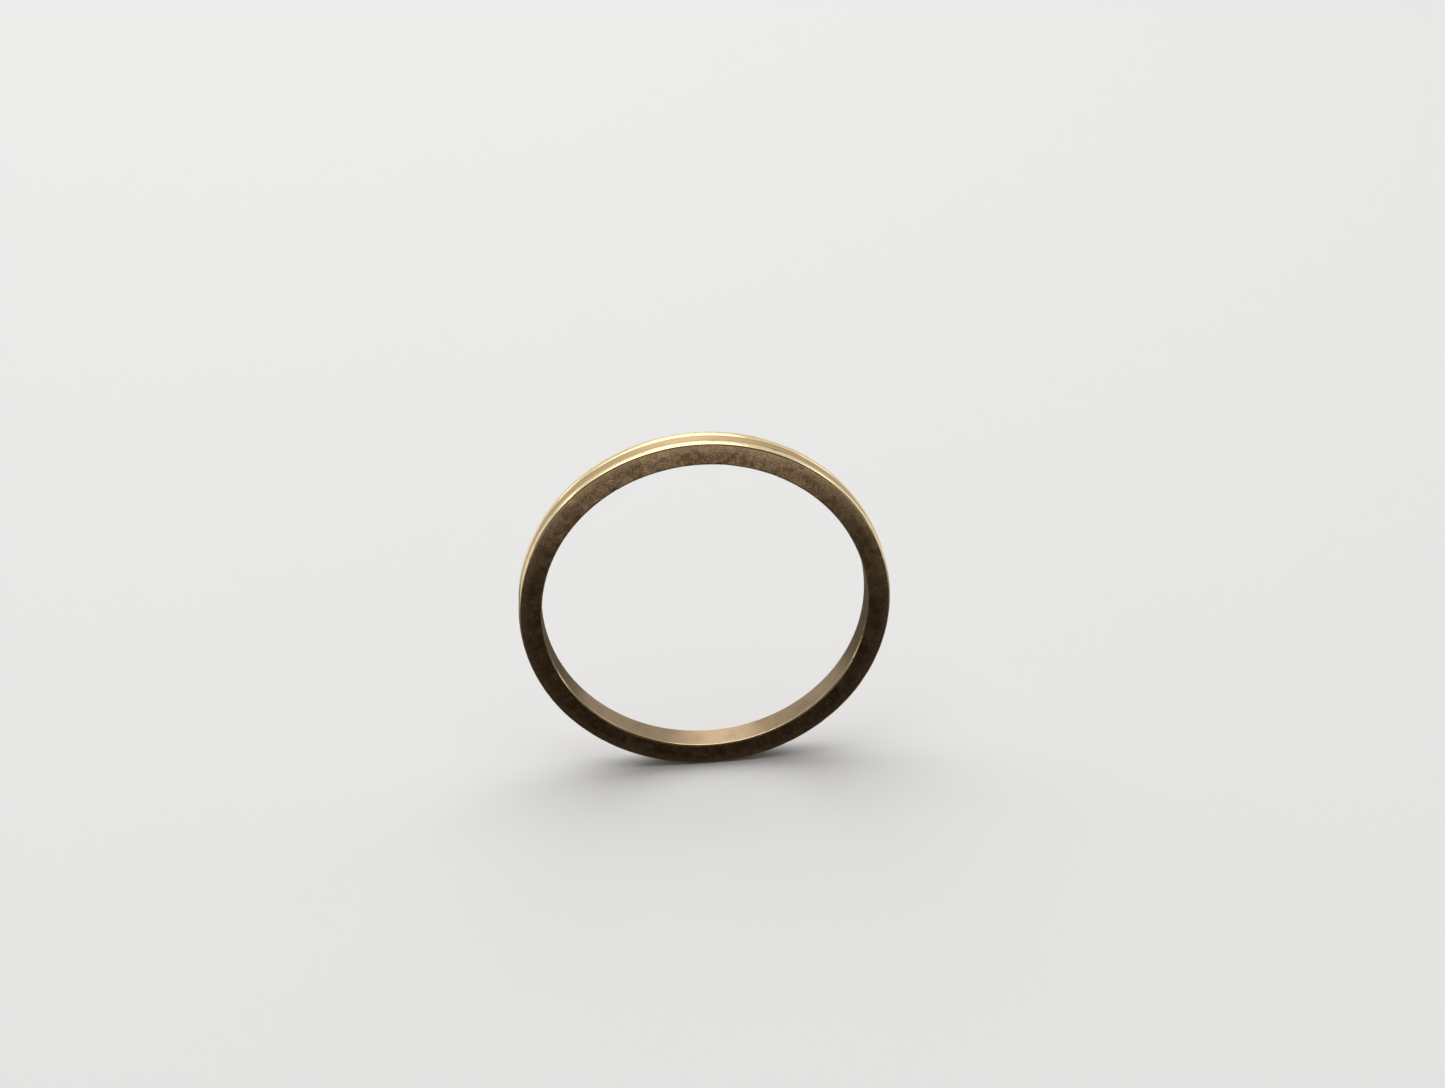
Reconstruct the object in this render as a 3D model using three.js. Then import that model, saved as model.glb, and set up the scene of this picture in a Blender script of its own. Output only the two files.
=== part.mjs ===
// A slim wedding band, in millimetres, with +Z up. The ring stands on edge: its axis is Y, its front
// faces -Y, and the origin is the centre of the finger hole, half way through the band's width.
//
// The band is built up from three rings that share one axis. The centre band goes round the finger and
// carries the satin land. A polished rail sits on a ledge turned into each of its edges and is soldered
// there, and a hairline groove is left between each rail and the land.

import * as THREE from 'three';

// Driving dimensions.
const BORE_DIAMETER = 17.35;
const WALL = 1.23;
const BAND_WIDTH = 1.5;
const RAIL_WIDTH = 0.5;
const RAIL_HEIGHT = 0.345;
const LAND_DROP = 0.035;
const HAIRLINE = 0.02;
const SOLDER_LINE = 0.02;
const BORE_CHAMFER = 0.03;
const OUTER_CHAMFER = 0.08;
const GROOVE_CHAMFER = 0.03;
const SEGMENTS = 128;

// Radii and half widths that follow from them.
const boreRadius = BORE_DIAMETER / 2;
const outerRadius = boreRadius + WALL;
const railInnerRadius = outerRadius - RAIL_HEIGHT;
const ledgeRadius = railInnerRadius - SOLDER_LINE;
const landRadius = outerRadius - LAND_DROP;
const halfWidth = BAND_WIDTH / 2;
const landHalfWidth = halfWidth - RAIL_WIDTH - HAIRLINE;

const satinGold = new THREE.MeshStandardMaterial({
  name: 'satin_gold',
  color: 0xb89b70,
  roughness: 0.42,
  metalness: 1,
});
const polishedGold = new THREE.MeshStandardMaterial({
  name: 'polished_gold',
  color: 0xe6c98c,
  roughness: 0.16,
  metalness: 1,
});

// One closed ring: the outline of its section, as [radius, place along the axis], turned about Y.
function ring(name, outline, material) {
  const points = outline.map(([radius, along]) => new THREE.Vector2(radius, along));
  points.push(points[0].clone());
  const mesh = new THREE.Mesh(new THREE.LatheGeometry(points, SEGMENTS), material);
  mesh.name = name;
  return mesh;
}

// The same outline on both sides of the middle: the rear half is the front half mirrored.
function mirrored(frontHalf) {
  const rearHalf = frontHalf.map(([radius, along]) => [radius, -along]).reverse();
  return [...frontHalf, ...rearHalf];
}

// The centre band: chamfered bore, flat sides up to the ledges, and the raised land between the rails.
function centreBand() {
  const frontHalf = [
    [boreRadius, -halfWidth + BORE_CHAMFER],
    [boreRadius + BORE_CHAMFER, -halfWidth],
    [ledgeRadius, -halfWidth],
    [ledgeRadius, -landHalfWidth],
    [landRadius - GROOVE_CHAMFER, -landHalfWidth],
    [landRadius, -landHalfWidth + GROOVE_CHAMFER],
  ];
  return ring('centre_band', mirrored(frontHalf), satinGold);
}

// A rail, drawn at the front edge: flat against its ledge, with its two outer corners broken.
function railOutline() {
  const inward = -halfWidth + RAIL_WIDTH;
  return [
    [railInnerRadius, -halfWidth],
    [outerRadius - OUTER_CHAMFER, -halfWidth],
    [outerRadius, -halfWidth + OUTER_CHAMFER],
    [outerRadius, inward - GROOVE_CHAMFER],
    [outerRadius - GROOVE_CHAMFER, inward],
    [railInnerRadius, inward],
  ];
}

function frontRail() {
  return ring('front_rail', railOutline(), polishedGold);
}

function rearRail() {
  const outline = railOutline().map(([radius, along]) => [radius, -along]);
  return ring('rear_rail', outline.reverse(), polishedGold);
}

const group = new THREE.Group();
group.name = 'wedding_band';
group.add(centreBand(), frontRail(), rearRail());

export default group;
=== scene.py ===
"""A slim gold wedding band on a plain pale stage.

The band is three rings on one axis: a centre band with a satin land, and a polished rail soldered into
each edge. The ring stands on edge, so its axis is Y, its front faces -Y and +Z is up. Lengths are in
metres.
"""

import math
import random
from collections import namedtuple

import bpy
import numpy as np
from mathutils import Euler, Matrix, Vector


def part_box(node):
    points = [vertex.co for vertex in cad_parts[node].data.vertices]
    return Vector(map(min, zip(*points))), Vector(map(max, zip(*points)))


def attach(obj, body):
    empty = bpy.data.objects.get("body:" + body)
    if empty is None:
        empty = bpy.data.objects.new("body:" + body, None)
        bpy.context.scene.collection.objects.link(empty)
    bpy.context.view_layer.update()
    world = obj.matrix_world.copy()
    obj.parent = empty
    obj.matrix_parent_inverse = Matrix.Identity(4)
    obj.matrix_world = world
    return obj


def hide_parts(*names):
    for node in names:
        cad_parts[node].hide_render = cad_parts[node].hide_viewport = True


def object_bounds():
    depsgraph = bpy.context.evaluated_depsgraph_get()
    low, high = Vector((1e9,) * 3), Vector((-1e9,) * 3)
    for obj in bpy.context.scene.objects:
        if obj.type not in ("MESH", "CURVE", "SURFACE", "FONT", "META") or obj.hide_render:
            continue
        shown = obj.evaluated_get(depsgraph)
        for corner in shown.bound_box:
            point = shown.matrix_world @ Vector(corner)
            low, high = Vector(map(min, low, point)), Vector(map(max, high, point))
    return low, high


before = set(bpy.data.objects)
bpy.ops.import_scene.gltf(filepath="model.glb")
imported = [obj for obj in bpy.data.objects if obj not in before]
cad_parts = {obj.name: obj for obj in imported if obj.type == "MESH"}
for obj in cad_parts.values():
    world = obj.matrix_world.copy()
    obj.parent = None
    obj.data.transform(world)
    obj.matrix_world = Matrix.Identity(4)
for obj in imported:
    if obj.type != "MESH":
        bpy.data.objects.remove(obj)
cad_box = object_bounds()

bl_info = {
    "name": "Wedding band",
    "version": (1, 0, 0),
    "blender": (4, 5, 0),
    "location": "View3D > Sidebar > Wedding Band",
    "description": "Makes a slim gold band with a satin centre and polished rails, on a plain stage",
    "category": "Add Mesh",
}

MM = 0.001
MICRON = 0.000001


# --------------------------------------------------------------------------------------------------
# Sizes that the frame settles
# --------------------------------------------------------------------------------------------------


def corners_of(node):
    """(distance from the ring's axis, place along it) of each corner of a CAD node."""
    places = np.array([vertex.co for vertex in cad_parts[node].data.vertices])
    return np.hypot(places[:, 0], places[:, 2]), places[:, 1]


BORE = float(corners_of("centre_band")[0].min())
LAND = float(corners_of("centre_band")[0].max())
OUTSIDE = float(corners_of("front_rail")[0].max())
RAIL_SEAT = float(corners_of("front_rail")[0].min())
HALF_WIDTH = cad_box[1].y
RAIL_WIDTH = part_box("front_rail")[1].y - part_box("front_rail")[0].y


# --------------------------------------------------------------------------------------------------
# What a user may change
# --------------------------------------------------------------------------------------------------


def length(name, description, default):
    """A length that the sidebar shows."""
    return bpy.props.FloatProperty(
        name=name, description=description, default=default, min=0, precision=5, unit="LENGTH"
    )


def colour(name, description, default):
    """A colour that the sidebar shows."""
    return bpy.props.FloatVectorProperty(
        name=name, description=description, default=default, min=0, max=1, size=3, subtype="COLOR"
    )


def share(name, description, default):
    """A number from 0 to 1 that the sidebar shows as a slider."""
    return bpy.props.FloatProperty(
        name=name, description=description, default=default, min=0, max=1, subtype="FACTOR"
    )


class BandSizes(bpy.types.PropertyGroup):
    """The band's section, and how far wear has rounded and marked it."""

    bore: length("Bore radius", "From the axis to the inside of the band", BORE)
    outside: length("Outside radius", "From the axis to the top of the rails", OUTSIDE)
    land: length("Land radius", "From the axis to the satin land between the rails", LAND)
    rail_seat: length("Rail seat radius", "From the axis to the underside of the rails", RAIL_SEAT)
    half_width: length("Half width", "From the middle of the band to its side face", HALF_WIDTH)
    rail_width: length("Rail width", "Width of each polished rail", RAIL_WIDTH)
    hairline: length("Hairline", "Gap between a rail and the land at the bottom of the groove", 0.003 * MM)
    solder_line: length("Solder line", "Gap left between a rail and its seat", 0.001 * MM)
    bore_round: length("Bore rounding", "Radius of the broken edge of the bore", 0.08 * MM)
    edge_round: length("Edge rounding", "Radius that wear has given the outer edges", 0.08 * MM)
    shoulder_round: length("Shoulder rounding", "Radius of a rail's edge beside its groove", 0.022 * MM)
    groove_round: length("Groove rounding", "Radius of the land's edge beside a groove", 0.015 * MM)
    crown: length("Crown", "How much higher the middle of a rail is than its shoulders", 0.030 * MM)
    line_depth: length("Line depth", "Height of the turned lines on the satin land", 0.9 * MICRON)
    wave_depth: length("Wave depth", "How far the surface wanders from a true circle", 3.5 * MICRON)
    dent_depth: length("Dent depth", "Depth of the deepest small dents", 16 * MICRON)
    segments: bpy.props.IntProperty(
        name="Segments", description="Facets round the ring", default=720, min=64, max=1440
    )


class BandFinishes(bpy.types.PropertyGroup):
    """Colours and gloss of the band's surfaces."""

    polished: colour("Polished gold", "Colour of the rails", (0.98, 0.80, 0.43))
    # Tarnish is also the colour of the painted shade on the rails beside the grooves.
    tarnish_and_painted_shade: colour("Tarnish", "Colour where the polish has dulled", (0.62, 0.42, 0.21))
    satin: colour("Satin gold", "Colour of the land between the rails", (0.62, 0.452, 0.25))
    # Satin hollows is also the colour of the painted shade on the land beside the grooves.
    satin_hollows_and_shade: colour("Satin hollows", "Colour in the turned lines of the land", (0.48, 0.33, 0.17))
    patina: colour("Patina", "Brown of the side faces", (0.40, 0.266, 0.146))
    patina_dark: colour("Dark patina", "Darkest brown in the side faces", (0.165, 0.105, 0.056))
    patina_worn: colour("Worn patina", "Gold where the patina is rubbed away", (0.60, 0.425, 0.26))
    bore: colour("Bore gold", "Colour of the inside of the band", (0.37, 0.262, 0.155))
    edge: colour("Worn edge", "Colour of the edges that wear has burnished", (0.90, 0.70, 0.40))
    groove: colour("Groove", "Colour deep in the hairline grooves", (0.10, 0.06, 0.03))
    polish_roughness: share("Polish roughness", "Roughness of the rails", 0.16)
    satin_roughness: share("Satin roughness", "Roughness of the land", 0.46)
    patina_roughness: share("Patina roughness", "Roughness of the side faces", 0.22)


class BandStage(bpy.types.PropertyGroup):
    """The floor, the light and the camera."""

    floor: colour("Floor", "Colour of the floor", (0.93, 0.93, 0.925))
    horizon: colour("Horizon", "Colour beyond the floor", (0.80, 0.80, 0.79))
    bright_side: share("Bright side", "Brightness of the white room behind the ring", 0.68)
    dark_side: colour("Dark side", "Tone of the dim room on the camera's side", (0.042, 0.035, 0.029))
    # The cloth glows with these tones: the dark one is painted reflection, the lit one painted light.
    cloth: colour("Dark cloth", "Tone of the cloth in front of the ring", (0.065, 0.060, 0.055))
    cloth_lit: colour("Lit cloth", "Tone of the cloth behind the ring", (0.14, 0.125, 0.105))
    cloth_radius: length("Dark cloth radius", "Reach of the dark cloth that the metal reflects", 35.5 * MM)
    distance: length("Camera distance", "From the camera to the point it looks at", 115.1 * MM)
    azimuth: bpy.props.FloatProperty(
        name="Azimuth",
        description="Camera's turn round the ring",
        default=math.radians(-3.516),
        subtype="ANGLE",
    )
    elevation: bpy.props.FloatProperty(
        name="Elevation", description="Camera's height", default=math.radians(29.53), subtype="ANGLE"
    )
    roll: bpy.props.FloatProperty(
        name="Roll", description="Camera's tilt", default=math.radians(-2.239), subtype="ANGLE"
    )
    aim: bpy.props.FloatVectorProperty(
        name="Aim",
        description="Point that the camera looks at, from the middle of the ring's front side",
        default=(1.039 * MM, 0, 3.97 * MM),
        subtype="TRANSLATION",
        unit="LENGTH",
    )
    lens: bpy.props.FloatProperty(name="Lens", description="Focal length in millimetres", default=54.81)


# --------------------------------------------------------------------------------------------------
# Turning an outline into a ring
# --------------------------------------------------------------------------------------------------

# A corner of an outline. fillet is its rounding, edge the finish on that rounding, finish the one on the
# stretch that leaves it, rows the distance between points on that stretch, and crown how far its middle
# stands proud of its ends.
Corner = namedtuple("Corner", "radius along fillet edge finish rows crown", defaults=(0.0,))

# Steps in a rounding. One smaller than TIGHT_FILLET is too small to show as round, so it has fewer.
ARC_STEPS = 7
TIGHT_FILLET = 0.01 * MM
TIGHT_ARC_STEPS = 1

# A turn smaller than this, in radians, is no corner.
STRAIGHT = 0.01

# A wave in a wander is lower than the slowest one by this power of how much faster it is.
WAVE_FALL = 0.6


def rounding(before, corner, after):
    """Points of the arc that rounds one corner of an outline, in order."""
    here = Vector((corner.radius, corner.along))
    arriving = (here - Vector((before.radius, before.along))).normalized()
    leaving = (Vector((after.radius, after.along)) - here).normalized()
    turn = math.atan2(arriving.x * leaving.y - arriving.y * leaving.x, arriving.dot(leaving))
    if corner.fillet == 0 or abs(turn) < STRAIGHT:
        return [here]
    start = here - arriving * corner.fillet * math.tan(abs(turn) / 2)
    inward = Vector((-arriving.y, arriving.x)) * math.copysign(corner.fillet, turn)
    centre = start + inward
    steps = TIGHT_ARC_STEPS if corner.fillet < TIGHT_FILLET else ARC_STEPS
    turns = [turn * step / steps for step in range(steps + 1)]
    return [centre + Matrix.Rotation(part, 2) @ (start - centre) for part in turns]


def section(corners):
    """The points of a closed outline and the finish of the stretch that leaves each of them."""
    following = corners[1:] + corners[:1]
    leading = corners[-1:] + corners[:-1]
    arcs = [rounding(*three) for three in zip(leading, corners, following)]
    points, finishes = [], []
    for corner, arc, next_arc in zip(corners, arcs, arcs[1:] + arcs[:1]):
        points += arc
        finishes += [corner.edge] * (len(arc) - 1) + [corner.finish]
        stretch = next_arc[0] - arc[-1]
        outward = Vector((stretch.y, -stretch.x)).normalized()
        count = max(1, round(stretch.length / corner.rows))
        for row in range(1, count):
            share_along = row / count
            bulge = corner.crown * 4 * share_along * (1 - share_along)
            points.append(arc[-1] + stretch * share_along + outward * bulge)
            finishes.append(corner.finish)
    return np.array(points), finishes


def outward_normals(points):
    """Which way each point of a closed outline faces."""
    along = np.roll(points, -1, axis=0) - np.roll(points, 1, axis=0)
    facing = np.column_stack((along[:, 1], -along[:, 0]))
    return facing / np.linalg.norm(facing, axis=1, keepdims=True)


def waves(angles, draw, lobes, depth):
    """A slow wander round the ring, made of a few cosines, each gentler than the one before."""
    total = np.zeros_like(angles)
    for count in lobes:
        height = depth * (lobes[0] / count) ** WAVE_FALL
        total += height * np.cos(count * angles + draw.uniform(0, math.tau))
    return total


def turned_mesh(name, outline, finishes, wear, segments):
    """Turns an outline about Y. wear(angles, points, finishes) is how far each point is moved outwards."""
    angles = np.arange(segments) * (math.tau / segments)
    facing = outward_normals(outline)
    moved = outline[None] + facing[None] * wear(angles, outline, finishes)[..., None]
    radius, along = moved[..., 0], moved[..., 1]
    across, up = np.sin(angles)[:, None], np.cos(angles)[:, None]
    places = np.stack((radius * across, along, radius * up), axis=-1).reshape(-1, 3)
    count = len(outline)
    row, column = np.meshgrid(np.arange(segments), np.arange(count), indexing="ij")
    start, next_start = row * count, (row + 1) % segments * count
    next_column = (column + 1) % count
    corners = (start + column, next_start + column, next_start + next_column, start + next_column)
    faces = np.stack(corners, axis=-1).reshape(-1, 4)
    mesh = bpy.data.meshes.new(name)
    mesh.from_pydata(places.tolist(), [], faces.tolist())
    names = list(dict.fromkeys(finishes))
    indices = [names.index(finish) for finish in finishes]
    mesh.polygons.foreach_set("material_index", np.tile(indices, segments))
    mesh.shade_smooth()
    mesh.update()
    return mesh, names


def shade_by_area(mesh):
    """Shades a mesh of four-sided faces by their areas, so that a flat face looks flat to its rounding."""
    places = np.empty(len(mesh.vertices) * 3)
    mesh.vertices.foreach_get("co", places)
    places = places.reshape(-1, 3)
    corners = np.empty(len(mesh.loops), dtype=int)
    mesh.loops.foreach_get("vertex_index", corners)
    corners = corners.reshape(-1, 4)
    first, second, third, fourth = (places[corner] for corner in corners.T)
    facing = np.cross(third - first, fourth - second)
    summed = np.zeros_like(places)
    for corner in corners.T:
        np.add.at(summed, corner, facing)
    summed /= np.linalg.norm(summed, axis=1, keepdims=True)
    mesh.normals_split_custom_set_from_vertices(summed.tolist())


def finished_piece(name, mesh, materials, nodes):
    """Makes the object, gives it its finishes, and sets it in the frame in place of its CAD nodes."""
    piece = bpy.data.objects.new(name, mesh)
    bpy.context.scene.collection.objects.link(piece)
    for material in materials:
        mesh.materials.append(material)
    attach(piece, "root")
    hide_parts(*nodes)


# --------------------------------------------------------------------------------------------------
# Wear on the shape
# --------------------------------------------------------------------------------------------------

# Finishes that wear doesn't reach: the soldered seats, and the tight seam between a rail and the side face.
HIDDEN = "seat"
SEAM = "seam"

# Waves round the ring in the wander of the whole band, and in the ripple of one ring's edges.
WANDER_LOBES = (2, 3, 5, 8, 13, 21)
EDGE_LOBES = (9, 14, 23, 31, 44, 67)
EDGE_RIPPLE = 1.5 * MICRON
EDGE_LOSS = 5 * MICRON
DENT_REACH = (0.06 * MM, 0.22 * MM)
SHALLOWEST_DENT = 0.2
WANDER_SEED = 7


def dents(places, shown, draw, count, depth):
    """Small round dents at places drawn from those that show, each pressed into all that is near it."""
    pressed = np.zeros(places.shape[:2])
    candidates = np.argwhere(np.tile(shown, (places.shape[0], 1)))
    for _ in range(count):
        row, column = candidates[draw.randrange(len(candidates))]
        reach = draw.uniform(*DENT_REACH)
        press = depth * draw.uniform(SHALLOWEST_DENT, 1.0) ** 2
        near = np.sum((places - places[row, column]) ** 2, axis=-1)
        pressed -= press * np.exp(-near / reach**2)
    return pressed


def band_wear(sizes, seed, dent_count):
    """Wear for one ring: the wander that the band shares, and its own worn edges, turned lines and dents."""
    shared = random.Random(WANDER_SEED)
    own = random.Random(seed)

    def wear(angles, outline, finishes):
        hidden = np.array([finish in (HIDDEN, SEAM) for finish in finishes])
        height = (outline[:, 0] - sizes.bore) / (sizes.outside - sizes.bore)
        radial, axial = np.abs(outward_normals(outline)).T
        wander = waves(angles, shared, WANDER_LOBES, sizes.wave_depth)[:, None] * height[None]
        wander = wander * radial[None]
        on_edge = 4 * radial**2 * axial**2
        edge = waves(angles, own, EDGE_LOBES, EDGE_RIPPLE) - EDGE_LOSS
        uneven = edge[:, None] * on_edge[None]
        line = np.array([own.uniform(-1, 1) if finish == "land" else 0 for finish in finishes])
        lines = np.tile(line * sizes.line_depth, (len(angles), 1))
        places = np.stack(
            (
                outline[None, :, 0] * np.sin(angles)[:, None],
                np.tile(outline[:, 1], (len(angles), 1)),
                outline[None, :, 0] * np.cos(angles)[:, None],
            ),
            axis=-1,
        )
        marks = dents(places, ~hidden, own, dent_count, sizes.dent_depth)
        return np.where(hidden[None], 0, wander + uneven + lines + marks)

    return wear


# --------------------------------------------------------------------------------------------------
# Finishes
# --------------------------------------------------------------------------------------------------


# In the patterns below, a scale or a density is a count per millimetre, detail is a number of octaves, and a
# pattern's value runs from 0 to 1.

# How narrow a scratch is for its length, and the step in its pattern's value from its edge to its middle.
SCRATCH_SLIMNESS = 0.06
SCRATCH_EDGE = 0.08


def add(tree, kind, inputs=None, **settings):
    """Adds a shader node with its settings. inputs are numbers or sockets to join, by name or place."""
    made = tree.nodes.new(kind)
    for name, value in settings.items():
        setattr(made, name, value)
    for name, value in (inputs or {}).items():
        if isinstance(value, bpy.types.NodeSocket):
            tree.links.new(value, made.inputs[name])
        else:
            made.inputs[name].default_value = value
    return made


def maths(tree, operation, *values):
    """The result of a Math node."""
    return add(tree, "ShaderNodeMath", dict(enumerate(values)), operation=operation).outputs[0]


def between(tree, value, low, high):
    """A value from low to high, brought to 0 to 1 and eased at both ends."""
    inputs = {"Value": value, "From Min": low, "From Max": high}
    return add(tree, "ShaderNodeMapRange", inputs, interpolation_type="SMOOTHSTEP").outputs["Result"]


def mixed(tree, amount, first, second):
    """One colour or the other, by amount."""
    inputs = {0: amount, 6: first, 7: second}
    return add(tree, "ShaderNodeMix", inputs, data_type="RGBA").outputs[2]


def opaque(tone):
    """A sidebar colour as a shader colour."""
    return (*tone, 1.0)


def place_in_mm(tree):
    """Where a point of the piece is, in millimetres, so that pattern scales are counts per millimetre."""
    where = add(tree, "ShaderNodeTexCoord").outputs["Object"]
    scaled = add(tree, "ShaderNodeVectorMath", {0: where, "Scale": 1 / MM}, operation="SCALE")
    return scaled.outputs[0]


def round_the_ring(tree, place):
    """(direction from the axis, distance from the axis, place along it) of a point."""
    flat = add(tree, "ShaderNodeVectorMath", {0: place, 1: (1, 0, 1)}, operation="MULTIPLY").outputs[0]
    away = add(tree, "ShaderNodeVectorMath", {0: flat}, operation="LENGTH").outputs["Value"]
    heading = add(tree, "ShaderNodeVectorMath", {0: flat}, operation="NORMALIZE").outputs[0]
    along = add(tree, "ShaderNodeSeparateXYZ", {0: place}).outputs["Y"]
    return heading, away, along


def turned_lines(tree, heading, across, per_radian, density, detail=4):
    """Fine lines that run round the ring: per_radian of them end to end, and density of them side by side."""
    inputs = {0: heading, "Scale": per_radian}
    stretched = add(tree, "ShaderNodeVectorMath", inputs, operation="SCALE").outputs[0]
    narrow = maths(tree, "MULTIPLY", across, density)
    raised = add(tree, "ShaderNodeCombineXYZ", {"Y": narrow}).outputs[0]
    where = add(tree, "ShaderNodeVectorMath", {0: stretched, 1: raised}, operation="ADD").outputs[0]
    return cloud(tree, where, 1.0, detail)


def cloud(tree, place, scale, detail=3, roughness=0.55, distortion=0.0):
    """A soft random pattern from 0 to 1."""
    inputs = {
        "Vector": place,
        "Scale": scale,
        "Detail": detail,
        "Roughness": roughness,
        "Distortion": distortion,
    }
    return add(tree, "ShaderNodeTexNoise", inputs).outputs["Fac"]


def scratches(tree, place, turn, density, keep):
    """Short straight hairline scratches in one direction, 1 on a scratch and 0 off it."""
    stretch = density * SCRATCH_SLIMNESS
    inputs = {"Vector": place, "Rotation": turn, "Scale": (density, stretch, stretch)}
    turned = add(tree, "ShaderNodeMapping", inputs).outputs[0]
    return between(tree, cloud(tree, turned, 1.0, 2), keep, keep + SCRATCH_EDGE)


def raised(tree, height, depth, after=None):
    """A bump of the given depth in metres, on top of another where after is given."""
    inputs = {"Height": height, "Distance": depth, "Strength": 1.0}
    if after:
        inputs["Normal"] = after
    return add(tree, "ShaderNodeBump", inputs).outputs[0]


def metal(name):
    """A new material with a plain metal shader: (material, its tree, the shader)."""
    material = bpy.data.materials.new(name)
    material.use_nodes = True
    tree = material.node_tree
    shader = tree.nodes["Principled BSDF"]
    shader.inputs["Metallic"].default_value = 1.0
    return material, tree, shader


def dress(tree, shader, tone, roughness, bump):
    """Joins a colour, a roughness and a bump to the shader."""
    tree.links.new(tone, shader.inputs["Base Color"])
    tree.links.new(roughness, shader.inputs["Roughness"])
    tree.links.new(bump, shader.inputs["Normal"])


def polished_gold(finishes, sizes):
    """The rails: bright, with stray scratches, darker and duller beside the grooves with painted shade, and
    brown beside the side face.
    """
    material, tree, shader = metal("polished_gold")
    place = place_in_mm(tree)
    heading, _, along = round_the_ring(tree, place)
    drift = cloud(tree, place, 0.9, 4)
    haze = cloud(tree, place, 6.0, 5)
    crossing = scratches(tree, place, (0.3, 0.5, 0.9), 9.0, 0.62)
    slanting = scratches(tree, place, (1.1, -0.4, -0.6), 13.0, 0.64)
    buffing = turned_lines(tree, heading, along, 14.0, 26.0)
    scratched = maths(tree, "MAXIMUM", crossing, slanting)
    from_middle = maths(tree, "ABSOLUTE", along)
    inner_edge = (sizes.half_width - sizes.rail_width) / MM
    # Painted shade: the rail darkens to the tarnish colour, and dulls, towards its edge beside the groove;
    # the drift adds real tarnish.
    painted_shade_by_groove = between(tree, from_middle, inner_edge + 0.04, inner_edge)
    dulled = maths(tree, "MAXIMUM", painted_shade_by_groove, between(tree, drift, 0.60, 0.78))
    amount = maths(tree, "MULTIPLY", dulled, 0.55)
    tone = mixed(tree, amount, opaque(finishes.polished), opaque(finishes.tarnish_and_painted_shade))
    side = sizes.half_width / MM
    beside_face = between(tree, from_middle, side - 0.022, side - 0.005)
    tone = mixed(tree, maths(tree, "MULTIPLY", beside_face, 0.8), tone, opaque(finishes.patina))
    roughness = maths(tree, "MULTIPLY_ADD", haze, 0.12, finishes.polish_roughness - 0.05)
    roughness = maths(tree, "MULTIPLY_ADD", scratched, 0.12, roughness)
    roughness = maths(tree, "MULTIPLY_ADD", dulled, 0.18, roughness)
    roughness = maths(tree, "MULTIPLY_ADD", beside_face, 0.15, roughness)
    bump = raised(tree, buffing, 0.5 * MICRON)
    bump = raised(tree, maths(tree, "SUBTRACT", 1.0, scratched), 0.5 * MICRON, after=bump)
    dress(tree, shader, tone, roughness, bump)
    return material


def satin_gold(finishes, sizes):
    """The land between the rails: fine lines turned round the ring, darker in their hollows, and darker
    towards the grooves with painted shade.
    """
    material, tree, shader = metal("satin_gold")
    place = place_in_mm(tree)
    heading, _, along = round_the_ring(tree, place)
    lines = turned_lines(tree, heading, along, 9.0, 30.0, 5)
    broad_lines = turned_lines(tree, heading, along, 3.0, 9.0, 3)
    drift = cloud(tree, place, 1.3, 4)
    land_edge = (sizes.half_width - sizes.rail_width - sizes.hairline) / MM
    # Painted shade: the land darkens towards each groove, to its satin hollows colour.
    painted_shade_at_groove = between(tree, maths(tree, "ABSOLUTE", along), land_edge - 0.04, land_edge)
    fine_hollow = between(tree, lines, 0.58, 0.36)
    hollows_and_painted_shade = maths(tree, "ADD", fine_hollow, between(tree, broad_lines, 0.55, 0.35))
    hollows_and_painted_shade = maths(tree, "MULTIPLY_ADD", painted_shade_at_groove, 0.5, maths(tree, "MULTIPLY", hollows_and_painted_shade, 0.28))
    hollows_and_painted_shade = maths(tree, "MINIMUM", maths(tree, "MULTIPLY_ADD", drift, 0.2, hollows_and_painted_shade), 1.0)
    tone = mixed(tree, hollows_and_painted_shade, opaque(finishes.satin), opaque(finishes.satin_hollows_and_shade))
    roughness = maths(tree, "MULTIPLY_ADD", lines, 0.2, finishes.satin_roughness - 0.1)
    bump = raised(tree, lines, 2.2 * MICRON)
    bump = raised(tree, broad_lines, 3.0 * MICRON, after=bump)
    dress(tree, shader, tone, roughness, bump)
    return material


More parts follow.
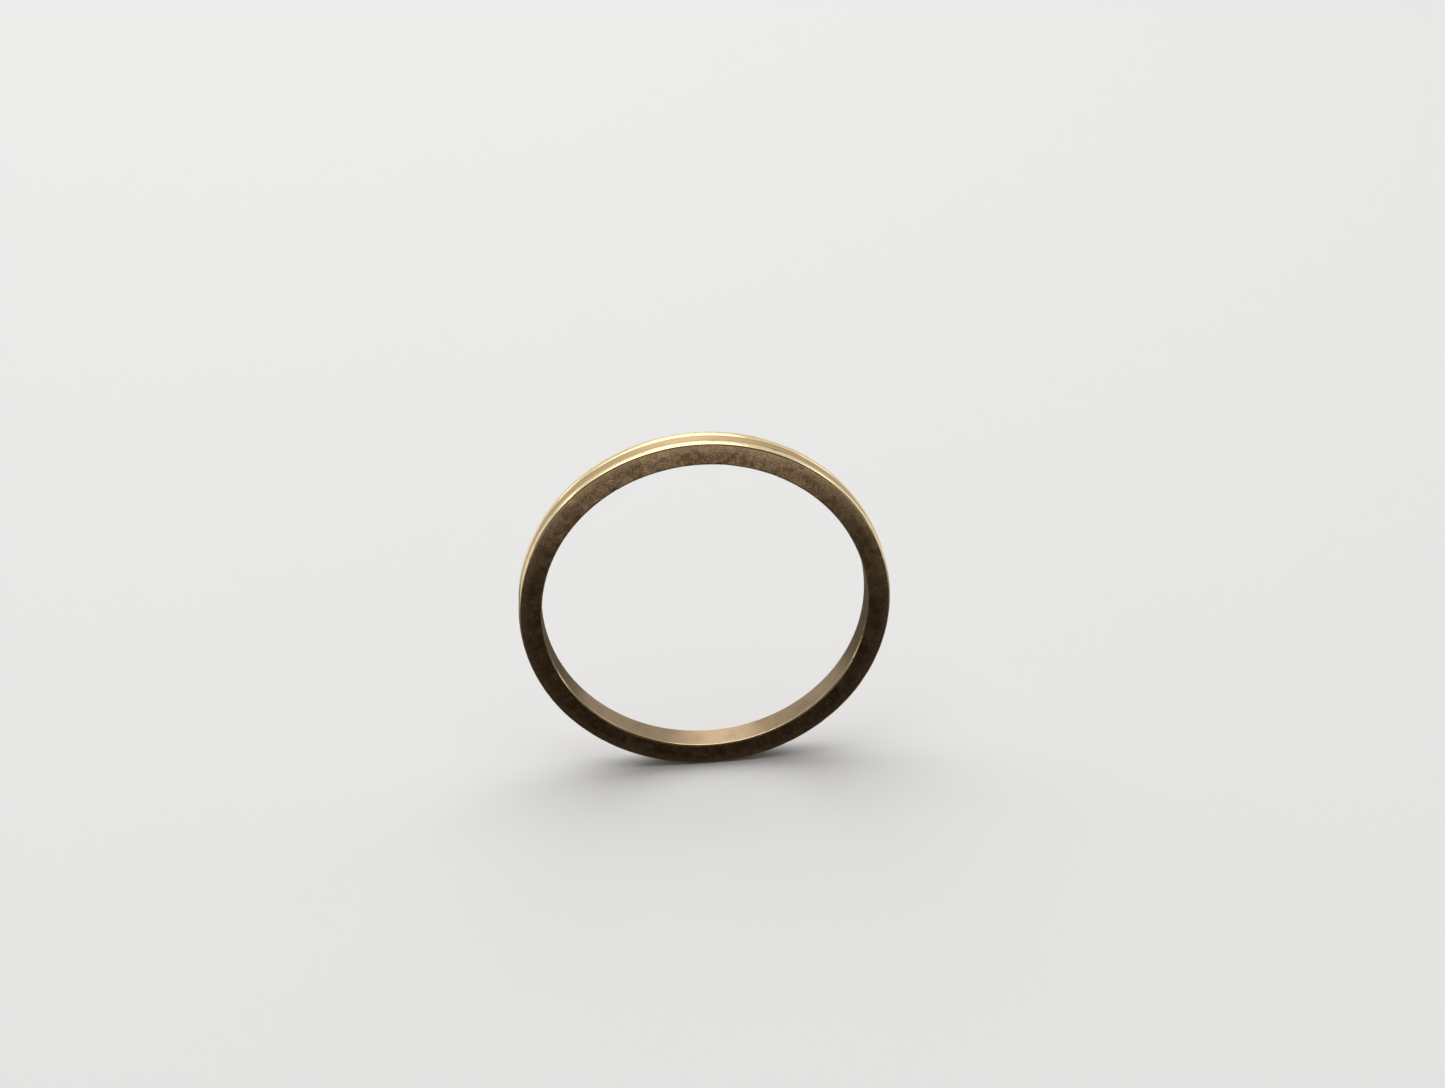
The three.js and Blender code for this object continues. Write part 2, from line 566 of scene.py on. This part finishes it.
def side_patina(finishes, sizes):
    """The flat side faces: mottled brown, rubbed to gold in places, with dark specks and fine scratches."""
    material, tree, shader = metal("side_patina")
    place = place_in_mm(tree)
    heading, away, _ = round_the_ring(tree, place)
    broad = cloud(tree, place, 0.55, 3)
    mottle = cloud(tree, place, 2.4, 5, 0.62, 0.6)
    grain = cloud(tree, place, 11.0, 4, 0.6)
    specks = between(tree, cloud(tree, place, 5.5, 2, 0.5, 0.4), 0.64, 0.74)
    lapping = turned_lines(tree, heading, away, 7.0, 16.0)
    crossing = scratches(tree, place, (0.0, 0.7, 0.0), 8.0, 0.66)
    slanting = scratches(tree, place, (0.0, -1.2, 0.0), 10.0, 0.67)
    scratched = maths(tree, "MAXIMUM", crossing, slanting)
    depth = maths(tree, "MULTIPLY_ADD", grain, 0.45, maths(tree, "MULTIPLY", mottle, 0.75))
    depth = maths(tree, "MULTIPLY_ADD", broad, 0.35, depth)
    shaded = between(tree, depth, 0.62, 0.92)
    tone = mixed(tree, shaded, opaque(finishes.patina), opaque(finishes.patina_dark))
    seam = sizes.rail_seat / MM
    near_outside = between(tree, away, seam - 0.2, seam + 0.12)
    rubbed = maths(tree, "MULTIPLY", between(tree, depth, 0.72, 0.52), 0.55)
    rubbed = maths(tree, "MULTIPLY_ADD", near_outside, 0.42, rubbed)
    rubbed = maths(tree, "MULTIPLY_ADD", scratched, 0.35, rubbed)
    tone = mixed(tree, maths(tree, "MINIMUM", rubbed, 1.0), tone, opaque(finishes.patina_worn))
    speckled = maths(tree, "MULTIPLY", specks, 0.65)
    pitted = maths(tree, "MULTIPLY_ADD", between(tree, grain, 0.48, 0.66), 0.30, speckled)
    tone = mixed(tree, pitted, tone, opaque(finishes.patina_dark))
    roughness = maths(tree, "MULTIPLY_ADD", grain, 0.22, finishes.patina_roughness - 0.11)
    roughness = maths(tree, "MULTIPLY_ADD", specks, 0.15, roughness)
    bump = raised(tree, lapping, 1.0 * MICRON)
    bump = raised(tree, grain, 2.5 * MICRON, after=bump)
    bump = raised(tree, maths(tree, "SUBTRACT", 1.0, scratched), 1.5 * MICRON, after=bump)
    dress(tree, shader, tone, roughness, bump)
    return material


def bore_gold(finishes, _sizes):
    """The inside of the band: satin from the finger, with soft polishing lines round it."""
    material, tree, shader = metal("bore_gold")
    place = place_in_mm(tree)
    heading, _, along = round_the_ring(tree, place)
    lines = turned_lines(tree, heading, along, 8.0, 14.0)
    drift = cloud(tree, place, 1.1, 4)
    grain = cloud(tree, place, 9.0, 4)
    dulled = maths(tree, "MULTIPLY", between(tree, drift, 0.45, 0.72), 0.3)
    tone = mixed(tree, dulled, opaque(finishes.bore), opaque(finishes.patina_dark))
    roughness = maths(tree, "MULTIPLY_ADD", grain, 0.2, 0.22)
    bump = raised(tree, lines, 1.6 * MICRON)
    bump = raised(tree, grain, 0.8 * MICRON, after=bump)
    dress(tree, shader, tone, roughness, bump)
    return material


def worn_edge(finishes, _sizes):
    """The edges that hands and cloth have burnished: bright, with tiny nicks."""
    material, tree, shader = metal("worn_edge")
    place = place_in_mm(tree)
    nicks = between(tree, cloud(tree, place, 7.0, 3), 0.58, 0.70)
    drift = cloud(tree, place, 1.7, 3)
    dulled = maths(tree, "MAXIMUM", nicks, between(tree, drift, 0.52, 0.74))
    amount = maths(tree, "MULTIPLY", dulled, 0.5)
    tone = mixed(tree, amount, opaque(finishes.edge), opaque(finishes.patina))
    roughness = maths(tree, "MULTIPLY_ADD", dulled, 0.20, 0.14)
    bump = raised(tree, maths(tree, "SUBTRACT", 1.0, nicks), 2.0 * MICRON)
    dress(tree, shader, tone, roughness, bump)
    return material


def groove_grime(finishes, _sizes):
    """Deep in the hairline grooves and on the soldered seats: dull and dark."""
    material, tree, shader = metal("groove_grime")
    place = place_in_mm(tree)
    grain = cloud(tree, place, 12.0, 4)
    tone = mixed(tree, grain, opaque(finishes.groove), opaque(finishes.patina_dark))
    roughness = maths(tree, "MULTIPLY_ADD", grain, 0.2, 0.55)
    dress(tree, shader, tone, roughness, raised(tree, grain, 3.0 * MICRON))
    return material


# Which material each finish of an outline is made of, and the materials that are made so far.
FINISH_MAKERS = {
    "rail": polished_gold,
    "land": satin_gold,
    "side": side_patina,
    SEAM: side_patina,
    "bore": bore_gold,
    "edge": worn_edge,
    HIDDEN: groove_grime,
}
FINISH_MATERIALS = {}


def finish_named(name, finishes, sizes):
    """The material of one finish, made the first time that a piece needs it."""
    maker = FINISH_MAKERS[name]
    if maker not in FINISH_MATERIALS:
        FINISH_MATERIALS[maker] = maker(finishes, sizes)
    return FINISH_MATERIALS[maker]


# --------------------------------------------------------------------------------------------------
# The pieces
# --------------------------------------------------------------------------------------------------

# Distance between points on a stretch that carries lines or a dome, on a plain face, and out of sight.
FINE_ROW = 0.02 * MM
FACE_ROW = 0.05 * MM
SEAT_ROW = 0.2 * MM

# Rounding of the two edges that meet in the seam between a rail and the side face.
SEAM_FILLET = 0.0015 * MM

BAND_SEED = 11
FRONT_RAIL_SEED = 23
REAR_RAIL_SEED = 37
BAND_DENTS = 60
RAIL_DENTS = 45


def with_mirror(front):
    """An outline's front half, and its rear half as its mirror. A mirrored stretch keeps its finish."""
    rear = []
    for corner, previous in zip(reversed(front), reversed([front[0], *front[:-1]])):
        stretch = {"finish": previous.finish, "rows": previous.rows, "crown": previous.crown}
        rear.append(corner._replace(along=-corner.along, **stretch))
    return front + rear


def centre_outline(sizes):
    """The centre band's outline, from the bore round by the front side and the land to the rear."""
    seat = sizes.rail_seat - sizes.solder_line
    side = -sizes.half_width
    land_edge = side + sizes.rail_width + sizes.hairline
    front = [
        Corner(sizes.bore, side, sizes.bore_round, "edge", "side", FACE_ROW),
        Corner(seat, side, SEAM_FILLET, SEAM, HIDDEN, SEAT_ROW),
        Corner(seat, land_edge, 0, HIDDEN, HIDDEN, SEAT_ROW),
        Corner(sizes.land, land_edge, sizes.groove_round, "land", "land", FINE_ROW),
    ]
    outline = with_mirror(front)
    outline[-1] = outline[-1]._replace(finish="bore", rows=FACE_ROW)
    return outline


def rail_outline(sizes):
    """The front rail's outline: a low dome between its rounded outer edge and its softer inner shoulder."""
    side = -sizes.half_width
    inner = side + sizes.rail_width
    shoulder = sizes.outside - sizes.crown
    return [
        Corner(sizes.rail_seat, side, SEAM_FILLET, SEAM, "side", FACE_ROW),
        Corner(shoulder, side, sizes.edge_round, "rail", "rail", FINE_ROW, sizes.crown),
        Corner(shoulder, inner, sizes.shoulder_round, "rail", HIDDEN, SEAT_ROW),
        Corner(sizes.rail_seat, inner, 0, HIDDEN, HIDDEN, SEAT_ROW),
    ]


def make_ring(name, node, outline, slot, seed, dent_count, scene, mirror=False):
    """Makes one ring of the band in place of its CAD node. mirror puts it at the rear edge."""
    sizes, finishes = scene.band_sizes, scene.band_finishes
    points, stretch_finishes = section(outline)
    wear = band_wear(sizes, seed, dent_count)
    mesh, names = turned_mesh(name, points, stretch_finishes, wear, sizes.segments)
    if mirror:
        mesh.transform(Matrix.Scale(-1, 4, (0, 1, 0)))
        mesh.flip_normals()
    shade_by_area(mesh)
    materials = [finish_named(finish, finishes, sizes) for finish in names]
    finished_piece(name, mesh, materials, [node])


class BAND_OT_centre_band(bpy.types.Operator):
    """Makes the centre band, with its bore, side faces, rail seats and satin land"""

    bl_idname = "band.centre_band"
    bl_label = "Centre Band"

    def execute(self, context):
        scene = context.scene
        outline = centre_outline(scene.band_sizes)
        make_ring("satin_centre_band", "centre_band", outline, "satin_gold", BAND_SEED, BAND_DENTS, scene)
        return {"FINISHED"}


class BAND_OT_rails(bpy.types.Operator):
    """Makes the two polished rails, one along each edge of the band"""

    bl_idname = "band.rails"
    bl_label = "Rails"

    def execute(self, context):
        scene = context.scene
        rail = (rail_outline(scene.band_sizes), "polished_gold")
        make_ring("polished_front_rail", "front_rail", *rail, FRONT_RAIL_SEED, RAIL_DENTS, scene)
        make_ring("polished_rear_rail", "rear_rail", *rail, REAR_RAIL_SEED, RAIL_DENTS, scene, mirror=True)
        return {"FINISHED"}


# --------------------------------------------------------------------------------------------------
# The stage
# --------------------------------------------------------------------------------------------------

FLOOR_RADIUS = 3.0
FLOOR_ROWS = 4
CLOTH_ROWS = 12
DISC_SEGMENTS = 96

# The cloth lies CLOTH_LIFT above the floor. As shares of its radius, it is solid out to CLOTH_SOLID, gone at
# CLOTH_GONE, and its sheet ends at CLOTH_SHEET.
# Its tones glow as painted reflection, with painted light from CLOTH_LIT_FROM behind the ring's middle.
CLOTH_LIFT = 0.01 * MM
CLOTH_SOLID = 0.82
CLOTH_GONE = 1.18
CLOTH_SHEET = 1.3
CLOTH_LIT_FROM = 6 * MM

# How far rearward a direction points, from -1 to 1, where the dim room ends and the white room is in full.
DIM_ROOM_TO = -0.1
WHITE_ROOM_FROM = 0.5

SENSOR_WIDTH = 36

# A soft light that faces the ring: its turn round the ring and its rise in degrees, its distance, width
# and height in metres, and how bright it looks beside a white card at 1.
SoftLight = namedtuple("SoftLight", "name turn rise distance width height brightness")

# What the metal reflects: a window low behind the ring, a large soft light high behind it, and a low white
# card on each side. FLOOR_FILL only lights the floor.
REFLECTED_LIGHTS = (
    SoftLight("rear_window", turn=184, rise=30, distance=0.36, width=0.13, height=0.09, brightness=1.15),
    SoftLight("overhead_softbox", turn=200, rise=68, distance=0.45, width=0.6, height=0.6, brightness=1.05),
    SoftLight("right_card", turn=125, rise=20, distance=0.36, width=0.10, height=0.10, brightness=1.0),
    SoftLight("left_card", turn=226, rise=15.5, distance=0.36, width=0.09, height=0.05, brightness=1.0),
)
FLOOR_FILL = SoftLight("floor_fill", turn=0, rise=85, distance=0.5, width=0.5, height=0.5, brightness=0.90)


def direction(turn, rise):
    """Which way something is from the ring, from its turn (0 is the front) and its rise, in radians."""
    level = math.cos(rise)
    return Vector((math.sin(turn) * level, -math.cos(turn) * level, math.sin(rise)))


def disc(name, radius, height, rows):
    """A flat round sheet facing up, made of concentric rows."""
    places = [(0, 0, height)]
    for row in range(1, rows + 1):
        for step in range(DISC_SEGMENTS):
            angle = math.tau * step / DISC_SEGMENTS
            reach = radius * row / rows
            places.append((reach * math.cos(angle), reach * math.sin(angle), height))
    faces = [(0, 1 + step, 1 + (step + 1) % DISC_SEGMENTS) for step in range(DISC_SEGMENTS)]
    for row in range(rows - 1):
        start, following = 1 + row * DISC_SEGMENTS, 1 + (row + 1) * DISC_SEGMENTS
        for step in range(DISC_SEGMENTS):
            after = (step + 1) % DISC_SEGMENTS
            faces.append((start + step, following + step, following + after, start + after))
    mesh = bpy.data.meshes.new(name)
    mesh.from_pydata(places, [], faces)
    mesh.update()
    sheet = bpy.data.objects.new(name, mesh)
    bpy.context.scene.collection.objects.link(sheet)
    return sheet


def floor_material(look):
    """Smooth pale card."""
    material = bpy.data.materials.new("floor_card")
    material.use_nodes = True
    shader = material.node_tree.nodes["Principled BSDF"]
    shader.inputs["Base Color"].default_value = opaque(look.floor)
    shader.inputs["Roughness"].default_value = 0.9
    shader.inputs["Specular IOR Level"].default_value = 0.1
    return material


def cloth_material(look):
    """A glowing sheet whose set dark tone is a painted reflection of a dark cloth, brighter behind the ring
    with painted light, solid near it and thinning out to nothing at its rim.
    """
    material = bpy.data.materials.new("painted_reflection_cloth")
    material.use_nodes = True
    tree = material.node_tree
    tree.nodes.clear()
    where = add(tree, "ShaderNodeTexCoord").outputs["Object"]
    away = add(tree, "ShaderNodeVectorMath", {0: where}, operation="LENGTH").outputs["Value"]
    thin = between(tree, away, look.cloth_radius * CLOTH_SOLID, look.cloth_radius * CLOTH_GONE)
    rearward = add(tree, "ShaderNodeSeparateXYZ", {0: where}).outputs["Y"]
    # Painted light: the glow is brighter behind the ring.
    lit = between(tree, rearward, 0.0, CLOTH_LIT_FROM)
    tone = mixed(tree, lit, opaque(look.cloth), opaque(look.cloth_lit))
    cloth = add(tree, "ShaderNodeEmission", {"Color": tone})
    clear = add(tree, "ShaderNodeBsdfTransparent")
    both = add(tree, "ShaderNodeMixShader", {0: thin, 1: cloth.outputs[0], 2: clear.outputs[0]})
    add(tree, "ShaderNodeOutputMaterial", {"Surface": both.outputs[0]})
    return material


def make_floor(look):
    """The pale floor, and the dark cloth round the ring, a glowing sheet of painted reflection that only
    shows in the metal's reflections.
    """
    height = cad_box[0].z
    floor = disc("floor", FLOOR_RADIUS, height, FLOOR_ROWS)
    floor.data.materials.append(floor_material(look))
    cloth = disc("painted_reflection_cloth", look.cloth_radius * CLOTH_SHEET, height + CLOTH_LIFT, CLOTH_ROWS)
    cloth.data.materials.append(cloth_material(look))
    cloth.visible_camera = False
    cloth.visible_diffuse = False
    cloth.visible_shadow = False
    cloth.visible_transmission = False


def make_room(look):
    """A white room behind the ring and a dim one on the camera's side. The camera sees a plain horizon."""
    world = bpy.data.worlds.new("studio_room")
    bpy.context.scene.world = world
    world.use_nodes = True
    tree = world.node_tree
    tree.nodes.clear()
    heading = add(tree, "ShaderNodeTexCoord").outputs["Generated"]
    rearward = add(tree, "ShaderNodeSeparateXYZ", {0: heading}).outputs["Y"]
    bright = between(tree, rearward, DIM_ROOM_TO, WHITE_ROOM_FROM)
    bright_tone = (look.bright_side, look.bright_side, look.bright_side, 1.0)
    room = mixed(tree, bright, opaque(look.dark_side), bright_tone)
    eye = add(tree, "ShaderNodeLightPath").outputs["Is Camera Ray"]
    seen = mixed(tree, eye, room, opaque(look.horizon))
    light = add(tree, "ShaderNodeBackground", {"Color": seen, "Strength": 1.0})
    add(tree, "ShaderNodeOutputWorld", {"Surface": light.outputs[0]})


def soft_light(light):
    """Makes a soft light that faces the ring, and returns its object."""
    lamp = bpy.data.lights.new(light.name, "AREA")
    lamp.shape = "RECTANGLE"
    lamp.size, lamp.size_y = light.width, light.height
    lamp.energy = light.brightness * math.pi * light.width * light.height
    holder = bpy.data.objects.new(light.name, lamp)
    bpy.context.scene.collection.objects.link(holder)
    towards = direction(math.radians(light.turn), math.radians(light.rise))
    holder.location = towards * light.distance
    holder.rotation_euler = towards.to_track_quat("Z", "Y").to_euler()
    return holder


def make_lights():
    """The lights that the metal reflects, and the fill that only lights the floor."""
    for light in REFLECTED_LIGHTS:
        soft_light(light)
    soft_light(FLOOR_FILL).visible_glossy = False


def make_camera(look):
    """The camera, turned round the point that it looks at."""
    data = bpy.data.cameras.new("camera")
    data.lens = look.lens
    data.sensor_width = SENSOR_WIDTH
    data.clip_start, data.clip_end = 1 * MM, 10
    camera = bpy.data.objects.new("camera", data)
    bpy.context.scene.collection.objects.link(camera)
    back = direction(look.azimuth, look.elevation)
    aim = Vector((0, cad_box[0].y, 0)) + Vector(look.aim)
    camera.location = aim + back * look.distance
    upright = back.to_track_quat("Z", "Y").to_matrix()
    camera.rotation_euler = (upright @ Euler((0, 0, look.roll)).to_matrix()).to_euler()
    bpy.context.scene.camera = camera


class BAND_OT_stage(bpy.types.Operator):
    """Makes the pale floor, the soft light and the camera"""

    bl_idname = "band.stage"
    bl_label = "Stage"

    def execute(self, context):
        look = context.scene.band_stage
        make_camera(look)
        make_floor(look)
        make_room(look)
        make_lights()
        context.scene.view_settings.view_transform = "Standard"
        return {"FINISHED"}


# --------------------------------------------------------------------------------------------------
# The add-on
# --------------------------------------------------------------------------------------------------


class BAND_PT_sidebar(bpy.types.Panel):
    """Lists the band's sizes, finishes and makers"""

    bl_idname = "BAND_PT_sidebar"
    bl_label = "Wedding Band"
    bl_space_type = "VIEW_3D"
    bl_region_type = "UI"
    bl_category = "Wedding Band"

    def draw(self, context):
        layout = self.layout
        for operator in OPERATORS:
            layout.operator(operator.bl_idname)
        for group in (context.scene.band_sizes, context.scene.band_finishes, context.scene.band_stage):
            box = layout.box()
            for name in group.__annotations__:
                box.prop(group, name)


OPERATORS = (BAND_OT_centre_band, BAND_OT_rails, BAND_OT_stage)
CLASSES = (BandSizes, BandFinishes, BandStage, *OPERATORS, BAND_PT_sidebar)


def register():
    for made in CLASSES:
        bpy.utils.register_class(made)
    bpy.types.Scene.band_sizes = bpy.props.PointerProperty(type=BandSizes)
    bpy.types.Scene.band_finishes = bpy.props.PointerProperty(type=BandFinishes)
    bpy.types.Scene.band_stage = bpy.props.PointerProperty(type=BandStage)


def unregister():
    del bpy.types.Scene.band_stage
    del bpy.types.Scene.band_finishes
    del bpy.types.Scene.band_sizes
    for made in reversed(CLASSES):
        bpy.utils.unregister_class(made)


def main():
    register()
    bpy.ops.band.centre_band()
    bpy.ops.band.rails()
    bpy.ops.band.stage()
    bpy.context.view_layer.update()


if __name__ == "__main__":
    main()
